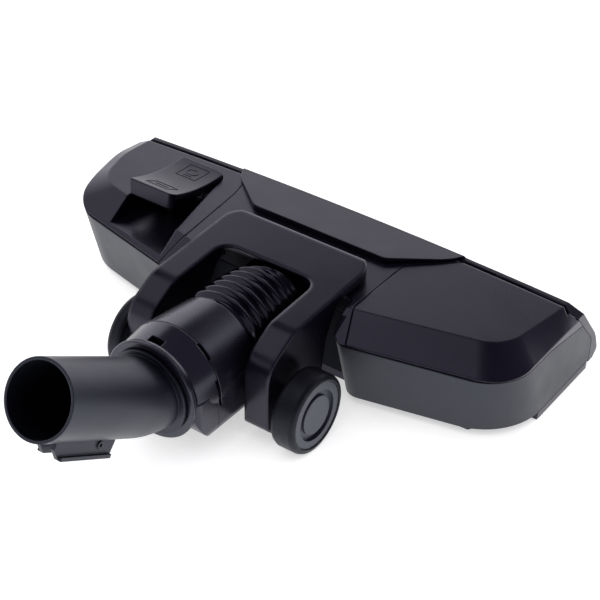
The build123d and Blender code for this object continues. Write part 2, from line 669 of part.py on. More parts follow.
def make_lint_strip(s):
    """Thread lifter let into the sole."""
    x_range = sorted((s * LINT_X[0], s * LINT_X[1]))
    return block(x_range, (LINT_Y - LINT_W / 2, LINT_Y + LINT_W / 2), (LINT_SUNK, LINT_DEPTH))


def make_screw(spot):
    x, y = spot
    head = rod_z(SCREW_HEAD_R, spot, SCREW_SUNK, SCREW_HEAD_H)
    shank = rod_z(SCREW_R, spot, SCREW_SUNK, SCREW_L)
    slot_z = (0, SCREW_SUNK + SLOT_DEPTH)
    return head + shank - block((x - SLOT_L / 2, x + SLOT_L / 2), (y - SLOT_W / 2, y + SLOT_W / 2), slot_z)


def make_inlet_duct():
    """Suction chamber over the mouth and the spigot that takes the hose."""
    t = DUCT_T
    y_low, y_high = DUCT_REAR_Y, MOUTH_Y[1] + DUCT_FRONT_LAND
    slope_y = y_high - DUCT_SLOPE_RUN
    inner_y = y_high - DUCT_FRONT_LAND + t / 4
    outer_pts = [(y_low, FLOOR_TOP), (y_low, DUCT_TOP_Z), (slope_y, DUCT_TOP_Z), (y_high, DUCT_SHOULDER_Z),
                 (y_high, FLOOR_TOP)]
    inner_pts = [(MOUTH_Y[0], FLOOR_TOP - 1), (y_low + t, FLOOR_TOP + DUCT_THROAT_H),
                 (y_low + t, DUCT_TOP_Z - t), (slope_y - t / 2, DUCT_TOP_Z - t),
                 (inner_y, DUCT_SHOULDER_Z - t / 4), (inner_y, FLOOR_TOP - 1)]
    duct = side(make_face(Polyline(*outer_pts, close=True)), -DUCT_HALF_W, DUCT_HALF_W)
    duct -= side(make_face(Polyline(*inner_pts, close=True)), -DUCT_HALF_W + t, DUCT_HALF_W - t)
    spigot_l = (SPIGOT_REAR_Y - HOSE_REAR_Y) / cos(radians(HOSE_FALL))
    reach = DUCT_REAR_Y + 1 - SPIGOT_REAR_Y
    duct += HOSE_AXIS * Pos(0, 0, spigot_l + reach / 2) * Cylinder(SPIGOT_R, reach)
    return duct - HOSE_AXIS * Pos(0, 0, spigot_l + reach / 2) * Cylinder(SPIGOT_R - DUCT_T, 2 * reach)


def hose_radius(y):
    """Crest radius, falling towards the head."""
    for (y0, r0), (y1, r1) in zip(HOSE_CREST, HOSE_CREST[1:]):
        if y <= y1:
            return r0 + (r1 - r0) * (y - y0) / (y1 - y0)
    return HOSE_CREST[-1][1]


def make_hose():
    """Corrugated hose with one rib to each pitch, plain cuffs at both ends."""
    outer = [(HOSE_REAR_Y, hose_radius(HOSE_REAR_Y) - HOSE_RIB)]
    for i in range(HOSE_RIBS):
        y = HOSE_RIB_START + i * HOSE_PITCH
        outer.append((y, hose_radius(y) - HOSE_RIB))
        for share in (0.3, 0.7):
            outer.append((y + share * HOSE_PITCH, hose_radius(y + share * HOSE_PITCH)))
    for y in (HOSE_RIB_START + HOSE_RIBS * HOSE_PITCH, HOSE_FRONT_Y):
        outer.append((y, hose_radius(y) - HOSE_RIB))
    bore = [(y, r - HOSE_RIB - HOSE_WALL) for y, r in reversed(HOSE_CREST)]
    stretch = 1 / cos(radians(HOSE_FALL))
    outline = make_face(Polyline(*[(r, 0, (y - HOSE_REAR_Y) * stretch) for y, r in outer + bore], close=True))
    return HOSE_AXIS * revolve(outline, axis=Axis.Z)


def make_carrier():
    """Brush carrier: two bars joined by arms that slide on the skirt's posts."""
    half_bar = CARRIER_BAR_W / 2
    z_range = (CARRIER_Z, CARRIER_TOP)
    frame = block((-BRUSH_HALF_W, BRUSH_HALF_W), (FRONT_BRUSH_Y - half_bar, FRONT_BRUSH_Y + half_bar), z_range)
    rear_reach = REAR_BRUSH_Y - LIP_Y + 2 * LIP_T
    frame += block((-REAR_BRUSH_HALF_W, REAR_BRUSH_HALF_W),
                   (REAR_BRUSH_Y - rear_reach, REAR_BRUSH_Y + half_bar), z_range)
    for s in (1, -1):
        x = s * CARRIER_ARM_X
        frame += block((x - CARRIER_ARM_W / 2, x + CARRIER_ARM_W / 2), (REAR_BRUSH_Y, FRONT_BRUSH_Y), z_range)
        frame -= rod_z(POST_R + PIN_FIT, (x, POST_Y), CARRIER_Z - 1, CARRIER_TOP + 1)
    return frame + rod_z(PUSH_POST_R, PUSH_POST, CARRIER_Z, PUSH_POST_Z)


def make_bristles(y, half_w):
    """Bristle strip: a backing bar with a row of tufts, each a little apart from the next."""
    count = int(2 * half_w / TUFT_PITCH)
    backing_z = CARRIER_Z - BACKING_T
    strip = block((-half_w, half_w), (y - BRUSH_W / 2, y + BRUSH_W / 2), (backing_z, CARRIER_Z))
    start = -count * TUFT_PITCH / 2
    tuft_w = TUFT_PITCH - TUFT_GAP
    for i in range(count):
        x = start + i * TUFT_PITCH + TUFT_GAP / 2
        strip += block((x, x + tuft_w), (y - BRUSH_W / 2, y + BRUSH_W / 2), (BRUSH_TIP_Z, backing_z))
    return strip


def make_rubber_lip():
    """Rear lip, notched along its lower edge to let coarse dirt in."""
    half_w = REAR_BRUSH_HALF_W
    lip = block((-half_w, half_w), (LIP_Y - LIP_T / 2, LIP_Y + LIP_T / 2), (BRUSH_TIP_Z, CARRIER_Z))
    count = int(2 * half_w / LIP_NOTCH_PITCH)
    for i in range(1, count):
        x = -half_w + i * 2 * half_w / count
        notch_x = (x - LIP_NOTCH_W / 2, x + LIP_NOTCH_W / 2)
        lip -= block(notch_x, (LIP_Y - LIP_T, LIP_Y + LIP_T), (0, BRUSH_TIP_Z + LIP_NOTCH_H))
    return lip


def make_spring(x):
    """Return spring round a guide post, between floor and carrier arm, of square wire."""
    low = FLOOR_TOP + SPRING_WIRE + SEAT_FIT
    rise = CARRIER_Z - SPRING_WIRE - SEAT_FIT - low
    steps = 8 * SPRING_TURNS
    sections = []
    at_side = Plane(origin=(SPRING_R, 0, 0), x_dir=(1, 0, 0), z_dir=(0, 1, 0))
    across = at_side * Rectangle(2 * SPRING_WIRE, 2 * SPRING_WIRE)
    for i in range(steps + 1):
        sections.append(Pos(x, POST_Y, low + rise * i / steps) * Rot(0, 0, 45 * i) * across)
    return loft(sections, ruled=True)


def make_pedal():
    """Rocker pedal: dished top, upright rear lip, pivot boss and the tongue over the carrier's post."""
    y_rear, y_front = PEDAL_REAR_Y, PEDAL_FRONT_Y
    lip_y = y_rear + PEDAL_LIP_LEAN
    belly = [(PEDAL_PIVOT[0] + y, PEDAL_PIVOT[1] + z) for y, z in PEDAL_BELLY]
    dish = ThreePointArc((lip_y + PEDAL_LIP_EDGE, PEDAL_LIP_Z), PEDAL_SADDLE, (y_front, PEDAL_FRONT_Z))
    lower = Polyline((y_front, PEDAL_FRONT_Z), (y_front, PEDAL_FRONT_Z - PEDAL_EDGE_T), *belly,
                     (y_rear + PEDAL_LIP_T, PEDAL_UNDER_Z), (y_rear, PEDAL_UNDER_Z), (lip_y, PEDAL_LIP_Z),
                     (lip_y + PEDAL_LIP_EDGE, PEDAL_LIP_Z))
    left, right = PEDAL_X
    corners = [(left, y_rear), (left, y_front), (right, y_front), (right, y_rear)]
    pedal = side(make_face([dish, lower]), *PEDAL_X) & plan(rounded(corners, PEDAL_CORNERS), 0, FAR)
    pedal += rod_x(PEDAL_BOSS_R, PEDAL_PIVOT, *PEDAL_X)
    push_x, push_y = PUSH_POST
    pedal += block((push_x - TONGUE_W / 2, push_x + TONGUE_W / 2),
                   (push_y - TONGUE_T / 2, push_y + TONGUE_T / 2),
                   (PUSH_POST_Z + RUN_GAP, PEDAL_UNDER_Z + TONGUE_T))
    return pedal - rod_x(PEDAL_PIN_R + PIN_FIT, PEDAL_PIVOT, PEDAL_X[0] - 1, PEDAL_X[1] + 1)


def make_fork():
    """U-shaped fork: front bar over the head, two arms down to the wheels, ears at the pivot."""
    front, shoulder = FORK_TOP
    outline = [front, shoulder, (FORK_REAR_Y, FORK_SHOULDER_Z), (FORK_REAR_Y, FORK_BOTTOM_Z), *FORK_INNER,
               (front[0], FORK_BAR_Z)]
    fork = side(rounded(outline, FORK_ROUNDS), -FORK_HALF_W, FORK_HALF_W)
    half = [(FORK_HALF_W, -FAR), (FORK_HALF_W, FORK_FRONT_Y)]
    fork = fork & plan(rounded(mirrored(half), [0, FORK_FRONT_R, FORK_FRONT_R, 0]), 0, FAR)
    window = [(FORK_WINDOW_HALF_W, -FAR), (FORK_WINDOW_HALF_W, FORK_WINDOW_Y)]
    fork -= plan(rounded(mirrored(window), [0, FORK_WINDOW_R, FORK_WINDOW_R, 0]), 0, FAR)
    hollow_z = front[1] - FORK_BAR_T
    hollow = [(FORK_FRONT_Y - FORK_SIDE_T, 0), (FORK_FRONT_Y - FORK_SIDE_T, hollow_z),
              (FORK_WINDOW_Y - FORK_SIDE_T, hollow_z - FORK_HOLLOW_FALL), (FORK_WINDOW_Y - FORK_SIDE_T, 0)]
    fork -= side(make_face(Polyline(*hollow, close=True)), -FORK_WINDOW_HALF_W, FORK_WINDOW_HALF_W)
    y, z = FORK_PIVOT
    ear = rod_x(FORK_EAR_R, FORK_PIVOT, *FORK_EAR_X)
    ear += block(FORK_EAR_X, (y - FORK_EAR_R, y + FORK_EAR_R), (z, FORK_BAR_Z + FORK_BAR_T))
    for one in both_sides(ear):
        fork += one
    fork -= rod_x(FORK_PIN_R + PIN_FIT, FORK_PIVOT, -FORK_EAR_X[1] - 1, FORK_EAR_X[1] + 1)
    return fork - rod_x(AXLE_R + SEAT_FIT, AXLE_MID, -FORK_HALF_W - 1, FORK_HALF_W + 1)


def make_tyre(x_out, width):
    """Tyre with rounded shoulders, drawn on the right."""
    x_in = x_out - width
    e = TYRE_EDGE_R
    points = [(x_in, TYRE_BORE_R), (x_in, WHEEL_R - e), (x_in + 0.3 * e, WHEEL_R - 0.3 * e),
              (x_in + e, WHEEL_R), (x_out - e, WHEEL_R), (x_out - 0.3 * e, WHEEL_R - 0.3 * e),
              (x_out, WHEEL_R - e), (x_out, TYRE_BORE_R)]
    return turned_x(points, AXLE_MID)


def make_hub(face_x, width):
    """Hub drawn on the right: outer face with a ring groove, boss and blind bore for the axle."""
    x_out, x_back = face_x - HUB_SUNK, face_x - width + HUB_BACK
    rim = TYRE_BORE_R - SEAT_FIT
    ring_in, ring_out = HUB_RING_R
    ring_x, disc_x = x_out - HUB_RING_DEPTH, x_out - HUB_DISC_SUNK
    boss_x, bore_x = FORK_HALF_W + RUN_GAP, face_x - AXLE_COVER + RUN_GAP
    bore_r = AXLE_R + PIN_FIT
    points = [(boss_x, bore_r), (boss_x, HUB_BOSS_R), (x_back, HUB_BOSS_R), (x_back, rim), (x_out, rim),
              (x_out, ring_out), (ring_x, ring_out), (ring_x, ring_in), (disc_x, ring_in), (disc_x, 0),
              (bore_x, 0), (bore_x, bore_r)]
    return turned_x(points, AXLE_MID)


def neck_mass(inset):
    """Turned upper body joined to a square foot, which narrows to the ears at the front."""
    stations = [(NECK_FRONT_Y, NECK_FRONT_R), (NECK_SEAM_Y, NECK_SEAM_R), (NECK_FLARE_Y, NECK_FLARE_R),
                (NECK_REAR_Y, NECK_REAR_R)]
    barrel = [(y, r - inset) for y, r in stations]
    front = (NECK_FRONT_Y + inset, barrel[0][1])
    rear = (NECK_REAR_Y - inset, barrel[-1][1])
    mass = turned_y([(front[0], 0), front, *barrel[1:-1], rear, (rear[0], 0)], NECK_Z)
    half_w = NECK_SEAM_R - NECK_FOOT_IN - inset
    foot_z = NECK_FOOT_Z + inset
    rear_y = NECK_FOOT_REAR_Y + inset
    foot = [(rear_y, NECK_Z), (rear_y, foot_z), (WHEEL_Y, foot_z), (WHEEL_Y, NECK_Z)]
    foot_side = side(rounded(foot, [0, NECK_HEEL_R - inset, 0, 0]), -half_w, half_w)
    foot_side += rod_x(NECK_EAR_R - inset, AXLE_MID, -half_w, half_w)
    section = rounded([(half_w, NECK_Z), (half_w, foot_z), (-half_w, foot_z), (-half_w, NECK_Z)],
                      [0, NECK_FOOT_R, NECK_FOOT_R, 0])
    profile = extrude(Plane.XZ * section, amount=FAR)
    heel = [(half_w, rear_y), (half_w, 0)]
    heel_r = max(NECK_FOOT_PLAN_R - inset, 0)
    heel_plan = rounded(mirrored(heel), [heel_r, 0, 0, heel_r])
    return mass + (foot_side & profile & plan(heel_plan, 0, NECK_Z))


def neck_latch(turn):
    """Places a shape drawn on top of the joint at the latch slit's place round the neck."""
    return Pos(0, NECK_SEAM_Y, NECK_Z) * Rot(0, turn, 0)


def make_neck_shell(front):
    """Front half with the hose seat, or rear half with the snap window and its latches."""
    shell = neck_mass(0) - neck_mass(NECK_WALL)
    seam = NECK_SEAM_Y
    y_range = (seam + SEAM_GAP / 2, 0) if front else (SHELL_REAR_Y, seam - SEAM_GAP / 2)
    shell = shell & block((-FAR, FAR), y_range, (0, FAR))
    slot_x = (NECK_SEAM_R - 2 * NECK_WALL, NECK_SEAM_R + NECK_WALL)
    for cut in both_sides(side(make_face(Polyline(*FLANK_SLOT, close=True)), *slot_x)):
        shell -= cut
    for turn in (SLIT_TURN, -SLIT_TURN):
        shell -= neck_latch(turn) * Pos(0, 0, NECK_SEAM_R) * Box(*SLIT_SIZE, 2.2 * NECK_WALL)
    if front:
        shell -= rod_x(AXLE_R + PIN_FIT, AXLE_MID, -NECK_SEAM_R, NECK_SEAM_R)
        crest = hose_radius(NECK_FRONT_Y)
        shell -= rod_y(crest + RUN_GAP, NECK_Z, NECK_FRONT_Y, 0)
        return shell - rod_y(crest - HOSE_RIB + RUN_GAP, NECK_Z, seam / 2 + NECK_FRONT_Y / 2, 0)
    width, length = WINDOW_SIZE
    shell -= block((-width / 2, width / 2), (WINDOW_Y - length / 2, WINDOW_Y + length / 2), (NECK_Z, FAR))
    bore_r = NECK_SEAM_R - NECK_WALL
    tip_z = (bore_r - 2 * SEAM_GAP - LATCH_T, bore_r - 2 * SEAM_GAP)
    root_z = (tip_z[0], bore_r + SEAM_GAP)
    latch_y = [y - seam for y in LATCH_Y]
    latch = block((-LATCH_W / 2, LATCH_W / 2), latch_y, tip_z)
    latch += block((-LATCH_W / 2, LATCH_W / 2), (latch_y[0], -SEAM_GAP), root_z)
    for turn in (SLIT_TURN, -SLIT_TURN):
        shell += neck_latch(turn) * latch
    return shell


def make_bezel():
    """Flared ring that closes the neck's rear end round the elbow."""
    bore_r = TUBE_R + RUN_GAP
    spigot_r = NECK_FLARE_R - NECK_WALL - SEAT_FIT
    spigot_y = BEZEL_L + BEZEL_SPIGOT_L
    points = [(0, bore_r), (0, BEZEL_R - BEZEL_EDGE), (BEZEL_EDGE, BEZEL_R), (BEZEL_L, BEZEL_R),
              (BEZEL_L, spigot_r), (spigot_y, spigot_r), (spigot_y, bore_r)]
    return turned_y(points, NECK_Z, NECK_REAR_Y)


def tube_path(y_start):
    """Centre line of the elbow from inside the neck to the mouth."""
    rise = radians(TUBE_RISE)
    tangent = BEND_R * tan(rise / 2)
    mouth = TUBE_STRAIGHT + tangent
    vertex = (0, BEND_VERTEX_Y, NECK_Z)
    end = (0, BEND_VERTEX_Y - mouth * cos(rise), NECK_Z + mouth * sin(rise))
    return FilletPolyline((0, y_start, NECK_Z), vertex, end, radius=BEND_R)


def make_elbow():
    """Swivel elbow: tube, flange inside the neck, collar behind the bezel and parking hook under the mouth."""
    path = tube_path(ELBOW_FRONT_Y)
    start = Plane(origin=path @ 0, z_dir=path % 0)
    tube = sweep(start * Circle(TUBE_R), path=path)
    tube += rod_y(FLANGE_R, NECK_Z, ELBOW_FRONT_Y - FLANGE_W, ELBOW_FRONT_Y)
    collar_y = NECK_REAR_Y - RUN_GAP
    tube += rod_y(COLLAR_R, NECK_Z, collar_y - COLLAR_W, collar_y)
    mouth = Plane(origin=path @ 1, x_dir=(1, 0, 0), z_dir=path % 1)
    tube += mouth * make_hook()
    return tube - sweep(start * Circle(TUBE_BORE_R), path=path)


def make_hook():
    """Parking hook in the mouth's frame: two lipped rails under the tube, joined at the back."""
    s0, s1 = HOOK_S
    down = -1
    rail = [(-s0, 0.8 * TUBE_R), (-s0, HOOK_DEPTH - HOOK_NOSE), (-s0 - HOOK_NOSE, HOOK_DEPTH),
            (-s1 + HOOK_HEEL, HOOK_DEPTH), (-s1, 0.8 * TUBE_R)]
    outline = make_face(Polyline(*[(0, down * r, s) for s, r in rail], close=True))
    plate = extrude(outline, amount=HOOK_HALF_W, dir=(1, 0, 0), both=True)
    lip_w = HOOK_HALF_W + HOOK_LIP
    plate += block((-lip_w, lip_w), (-HOOK_DEPTH, -HOOK_DEPTH + HOOK_LIP_T),
                   (-s1 + HOOK_NOSE / 2, -s0 - HOOK_NOSE))
    boss_s, boss_r = HOOK_BOSS
    boss_at = Pos(0, down * boss_r, -boss_s) * Rot(0, 90, 0)
    plate += boss_at * Cylinder(HOOK_BOSS_R, 2 * (HOOK_HALF_W + HOOK_BOSS_H))
    plate -= boss_at * Cylinder(HOOK_BOSS_BORE_R, 3 * HOOK_HALF_W)
    gap = HOOK_HALF_W - HOOK_PLATE_T
    return plate - block((-gap, gap), (-2 * HOOK_DEPTH, 0), (-s1 + HOOK_BLOCK_L, 0))


def make_seal():
    """Sliding ring between the elbow and the neck's bore."""
    y = ELBOW_FRONT_Y - FLANGE_W - SEAL_PLAY
    points = [(0, TUBE_R + PIN_FIT), (0, SEAL_R), (-SEAL_W, SEAL_R), (-SEAL_W, TUBE_R + PIN_FIT)]
    return turned_y(points, NECK_Z, y)


def main():
    write(make_skirt(), "skirt")
    write(make_centre_housing(), "centre_housing")
    write(make_left_cover(), "left_cover")
    write(make_right_cover(), "right_cover")
    write(make_front_cover(), "front_cover")
    write(make_sole_plate(), "sole_plate")
    write(make_lint_strip(1), "right_lint_strip")
    write(make_lint_strip(-1), "left_lint_strip")
    write(Compound([make_screw(spot) for spot in SCREWS_XY]), "sole_screws")
    write(make_inlet_duct(), "inlet_duct")
    write(make_hose(), "hose")
    write(make_carrier(), "brush_carrier")
    write(make_bristles(FRONT_BRUSH_Y, BRUSH_HALF_W), "front_bristles")
    write(make_bristles(REAR_BRUSH_Y, REAR_BRUSH_HALF_W), "rear_bristles")
    write(make_rubber_lip(), "rubber_lip")
    write(Compound([make_spring(s * CARRIER_ARM_X) for s in (1, -1)]), "return_springs")
    write(make_pedal(), "pedal")
    pin_x = (PEDAL_X[0] - PEDAL_PIN_SEAT, PEDAL_X[1] + PEDAL_PIN_SEAT)
    write(rod_x(PEDAL_PIN_R, PEDAL_PIVOT, *pin_x), "pedal_pin")
    write(make_fork(), "fork")
    reach = BEARING_T + RUN_GAP - SEAT_FIT
    pin = rod_x(FORK_PIN_R, FORK_PIVOT, FORK_EAR_X[0] - reach, FORK_EAR_X[1] + reach)
    wheels = [("right", WHEEL_OUT_X, WHEEL_W), ("left", LEFT_WHEEL_OUT_X, LEFT_WHEEL_W)]
    for i, (hand, x, width) in enumerate(wheels):
        write(both_sides(pin)[i], f"{hand}_fork_pin")
        write(both_sides(rod_x(AXLE_R, AXLE_MID, AXLE_IN_X, x - AXLE_COVER))[i], f"{hand}_axle")
        write(both_sides(make_tyre(x, width))[i], f"{hand}_tyre")
        write(both_sides(make_hub(x, width))[i], f"{hand}_hub")
    write(make_neck_shell(True), "neck_front_shell")
    write(make_neck_shell(False), "neck_rear_shell")
    write(make_bezel(), "neck_bezel")
    write(make_elbow(), "elbow_tube")
    write(make_seal(), "elbow_seal")


main()
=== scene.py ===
import math
import random

import bmesh
import bpy
from mathutils import Matrix, Vector
from mathutils.bvhtree import BVHTree


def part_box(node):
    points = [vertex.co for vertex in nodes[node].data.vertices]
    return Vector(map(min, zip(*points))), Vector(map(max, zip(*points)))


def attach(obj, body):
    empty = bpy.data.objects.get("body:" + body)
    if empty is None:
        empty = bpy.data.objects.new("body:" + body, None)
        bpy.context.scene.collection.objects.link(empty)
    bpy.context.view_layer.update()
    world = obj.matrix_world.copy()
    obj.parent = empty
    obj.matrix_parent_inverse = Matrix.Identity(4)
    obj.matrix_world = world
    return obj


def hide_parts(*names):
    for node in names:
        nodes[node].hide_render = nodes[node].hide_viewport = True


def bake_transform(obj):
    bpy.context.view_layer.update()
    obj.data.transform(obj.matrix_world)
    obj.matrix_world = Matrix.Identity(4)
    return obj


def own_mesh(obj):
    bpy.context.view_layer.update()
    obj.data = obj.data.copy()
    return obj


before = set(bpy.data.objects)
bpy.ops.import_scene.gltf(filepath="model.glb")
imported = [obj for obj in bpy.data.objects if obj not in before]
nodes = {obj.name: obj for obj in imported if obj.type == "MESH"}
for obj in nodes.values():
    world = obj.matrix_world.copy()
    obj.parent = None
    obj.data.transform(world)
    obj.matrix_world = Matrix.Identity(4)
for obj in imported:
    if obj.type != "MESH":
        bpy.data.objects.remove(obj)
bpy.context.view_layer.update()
MM = 0.001


# Camera at the photograph's view
CAM_AZIMUTH = math.radians(35.83)
CAM_ELEVATION = math.radians(35.29)
CAM_ROLL = math.radians(0.78)
CAM_DISTANCE = 0.9533
CAM_TARGET = Vector((0.0044, -0.0008, 0.0267))
CAM_LENS = 112.37
SENSOR = 36.0


def make_camera():
    back = Vector((math.sin(CAM_AZIMUTH) * math.cos(CAM_ELEVATION),
                   -math.cos(CAM_AZIMUTH) * math.cos(CAM_ELEVATION),
                   math.sin(CAM_ELEVATION)))
    right = Vector((math.cos(CAM_AZIMUTH), math.sin(CAM_AZIMUTH), 0.0))
    up = back.cross(right)
    r2 = math.cos(CAM_ROLL) * right + math.sin(CAM_ROLL) * up
    u2 = -math.sin(CAM_ROLL) * right + math.cos(CAM_ROLL) * up
    data = bpy.data.cameras.new("camera")
    data.lens = CAM_LENS
    data.sensor_width = SENSOR
    data.clip_start = 0.01
    data.clip_end = 20.0
    cam = bpy.data.objects.new("camera", data)
    bpy.context.scene.collection.objects.link(cam)
    turn = Matrix((r2, u2, back)).transposed().to_4x4()
    cam.matrix_world = Matrix.Translation(CAM_TARGET + back * CAM_DISTANCE) @ turn
    bpy.context.scene.camera = cam


# Materials
# Box of the notch behind the fork's bar; on its walls the specular is cut to a small share as painted shade
NOTCH_HALF_W = 50.0
NOTCH_TOP_Z = 50.5
NOTCH_SHADE_SHARE = 0.12
PLUM = (0.79, 0.75, 1.0)
SLATE = (0.75, 0.81, 1.0)
DUSK = (0.78, 0.79, 1.0)
FLOW_SCALE = 9.0
DRIFT_SCALE = 45.0
WAVE_SCALE = 60.0
WAVE_STRENGTH = 0.03
WAVE_DEPTH = 0.00004
PILE_DEPTH = 0.0003


class Tree:
    """Small helper around one node tree."""

    def __init__(self, name):
        self.mat = bpy.data.materials.new(name)
        self.mat.use_nodes = True
        self.tree = self.mat.node_tree
        self.shader = self.tree.nodes["Principled BSDF"]
        self.coords = self.tree.nodes.new("ShaderNodeTexCoord").outputs["Object"]

    def node(self, kind, **values):
        n = self.tree.nodes.new(kind)
        for key, value in values.items():
            if key in n.inputs:
                n.inputs[key].default_value = value
            else:
                setattr(n, key, value)
        return n

    def link(self, a, b):
        self.tree.links.new(a, b)

    def noise(self, scale, detail=2.0, rough=0.5, coords=None):
        n = self.node("ShaderNodeTexNoise", Scale=scale, Detail=detail, Roughness=rough)
        self.link(coords or self.coords, n.inputs["Vector"])
        return n.outputs["Fac"]

    def ramp(self, fac, low, high, start=0.3, end=0.7):
        n = self.node("ShaderNodeValToRGB")
        n.color_ramp.elements[0].position = start
        n.color_ramp.elements[1].position = end
        n.color_ramp.elements[0].color = (*low, 1.0)
        n.color_ramp.elements[1].color = (*high, 1.0)
        self.link(fac, n.inputs["Fac"])
        return n.outputs["Color"]

    def span(self, fac, low, high, start=0.3, end=0.7):
        n = self.node("ShaderNodeMapRange")
        n.inputs["From Min"].default_value = start
        n.inputs["From Max"].default_value = end
        n.inputs["To Min"].default_value = low
        n.inputs["To Max"].default_value = high
        self.link(fac, n.inputs["Value"])
        return n.outputs["Result"]

    def soft_edges(self, radius):
        n = self.node("ShaderNodeBevel", Radius=radius, samples=8)
        return n.outputs["Normal"]

    def compare(self, value, operation, limit):
        n = self.node("ShaderNodeMath", operation=operation)
        self.link(value, n.inputs[0])
        n.inputs[1].default_value = limit
        return n.outputs["Value"]

    def notch_shade_mask(self):
        """Mask for painted shade: 1 on the walls of the notch behind the fork's bar, 0 elsewhere."""
        split = self.node("ShaderNodeSeparateXYZ")
        self.link(self.coords, split.inputs["Vector"])
        beside = self.node("ShaderNodeMath", operation="ABSOLUTE")
        self.link(split.outputs["X"], beside.inputs[0])
        within = self.compare(beside.outputs["Value"], "LESS_THAN", NOTCH_HALF_W * MM)
        below = self.compare(split.outputs["Z"], "LESS_THAN", NOTCH_TOP_Z * MM)
        both = self.node("ShaderNodeMath", operation="MULTIPLY")
        self.link(within, both.inputs[0])
        self.link(below, both.inputs[1])
        return both.outputs["Value"]

    def bump(self, height, strength, distance, after=None):
        n = self.node("ShaderNodeBump", Strength=strength, Distance=distance)
        self.link(height, n.inputs["Height"])
        if after is not None:
            self.link(after, n.inputs["Normal"])
        return n.outputs["Normal"]


def scaled(colour, share):
    return tuple(c * share for c in colour)


def plastic(name, colour, rough, edge=0.6, spread=0.04, grain=1400.0, grain_depth=0.00003, strength=0.12,
            specular=0.6, shade=0.12, tint=PLUM, notch=False):
    """Moulded plastic: rounded edges, faint flow shading, fine eroded grain, roughness that drifts; with
    notch set, painted shade (lowered specular) in the notch behind the fork's bar.
    """
    t = Tree(name)
    flow = t.noise(FLOW_SCALE, detail=3.0)
    t.link(t.ramp(flow, scaled(colour, 1 - shade), scaled(colour, 1 + shade)), t.shader.inputs["Base Color"])
    drift = t.noise(DRIFT_SCALE, detail=4.0, rough=0.6)
    t.link(t.span(drift, rough - spread, rough + spread), t.shader.inputs["Roughness"])
    fine = t.bump(t.noise(grain, detail=2.0, rough=0.6), strength, grain_depth, t.soft_edges(edge * MM))
    wavy = t.bump(t.noise(WAVE_SCALE, detail=1.0), WAVE_STRENGTH, WAVE_DEPTH, fine)
    t.link(wavy, t.shader.inputs["Normal"])
    t.shader.inputs["Specular IOR Level"].default_value = specular
    t.shader.inputs["Specular Tint"].default_value = (*tint, 1.0)
    if notch:
        # Painted shade: on the notch walls behind the fork's bar the specular drops to a small share,
        # standing in for the shade there
        notch_shaded_specular = t.span(t.notch_shade_mask(), specular, NOTCH_SHADE_SHARE * specular, 0.0, 1.0)
        t.link(notch_shaded_specular, t.shader.inputs["Specular IOR Level"])
    return t.mat


def rubber(name, colour, rough):
    t = Tree(name)
    dust = t.noise(110.0, detail=5.0, rough=0.65)
    t.link(t.ramp(dust, scaled(colour, 0.8), scaled(colour, 1.5)), t.shader.inputs["Base Color"])
    wear = t.noise(300.0, detail=3.0)
    t.link(t.span(wear, rough - 0.06, rough + 0.08), t.shader.inputs["Roughness"])
    grain = t.noise(900.0, detail=3.0)
    fine = t.bump(grain, strength=0.4, distance=0.00005, after=t.soft_edges(0.8 * MM))
    t.link(fine, t.shader.inputs["Normal"])
    t.shader.inputs["Specular IOR Level"].default_value = 0.3
    t.shader.inputs["Specular Tint"].default_value = (*SLATE, 1.0)
    return t.mat


def pile(name, colour):
    """Short lint pile."""
    t = Tree(name)
    fuzz = t.noise(1800.0, detail=4.0, rough=0.7)
    t.link(t.ramp(fuzz, scaled(colour, 0.45), scaled(colour, 1.5)), t.shader.inputs["Base Color"])
    t.link(t.bump(fuzz, strength=0.9, distance=PILE_DEPTH), t.shader.inputs["Normal"])
    t.shader.inputs["Roughness"].default_value = 0.9
    t.shader.inputs["Sheen Weight"].default_value = 0.6
    return t.mat


def steel(name, colour):
    t = Tree(name)
    stretch = t.node("ShaderNodeMapping")
    stretch.inputs["Scale"].default_value = (40.0, 900.0, 900.0)
    t.link(t.coords, stretch.inputs["Vector"])
    lines = t.noise(1.0, detail=3.0, rough=0.6, coords=stretch.outputs["Vector"])
    t.link(t.ramp(lines, scaled(colour, 0.85), scaled(colour, 1.08)), t.shader.inputs["Base Color"])
    t.link(t.span(lines, 0.24, 0.38), t.shader.inputs["Roughness"])
    t.shader.inputs["Metallic"].default_value = 1.0
    return t.mat


BLACK = (0.0058, 0.0046, 0.0102)
GREY = (0.0085, 0.0095, 0.0150)
# Body and skirt get painted shade (lowered specular) in the notch behind the fork's bar
body_mat = plastic("body_plastic", BLACK, 0.30, notch=True)
lid_mat = plastic("lid_plastic", BLACK, 0.29, edge=1.2)
front_mat = plastic("front_plastic", BLACK, 0.30, edge=0.9, specular=0.42)
# Painted shade: the fork's base is darker and its specular lower than the body's, standing in for the shade
# on its arms
fork_shaded_mat = plastic("fork_plastic", scaled(BLACK, 0.7), 0.25, edge=2.6, specular=0.55)
neck_mat = plastic("neck_plastic", (0.0080, 0.0076, 0.0125), 0.27, edge=0.7, specular=0.75, tint=DUSK)
skirt_mat = plastic("skirt_plastic", GREY, 0.40, edge=0.7, grain=2200.0, strength=0.12, specular=0.5,
                    tint=SLATE, notch=True)
tube_mat = plastic("tube_plastic", GREY, 0.40, edge=0.6, grain=1800.0, tint=SLATE)
pedal_mat = plastic("pedal_plastic", BLACK, 0.34, edge=1.0, specular=0.44)
hose_mat = plastic("hose_plastic", scaled(BLACK, 0.35), 0.13, edge=0.3, spread=0.03, grain=900.0,
                   strength=0.05, specular=0.6)
sole_mat = plastic("sole_plastic", GREY, 0.34, edge=0.6, grain=700.0, strength=0.15)
inner_mat = plastic("inner_plastic", scaled(GREY, 0.5), 0.5, edge=0.4, specular=0.25)
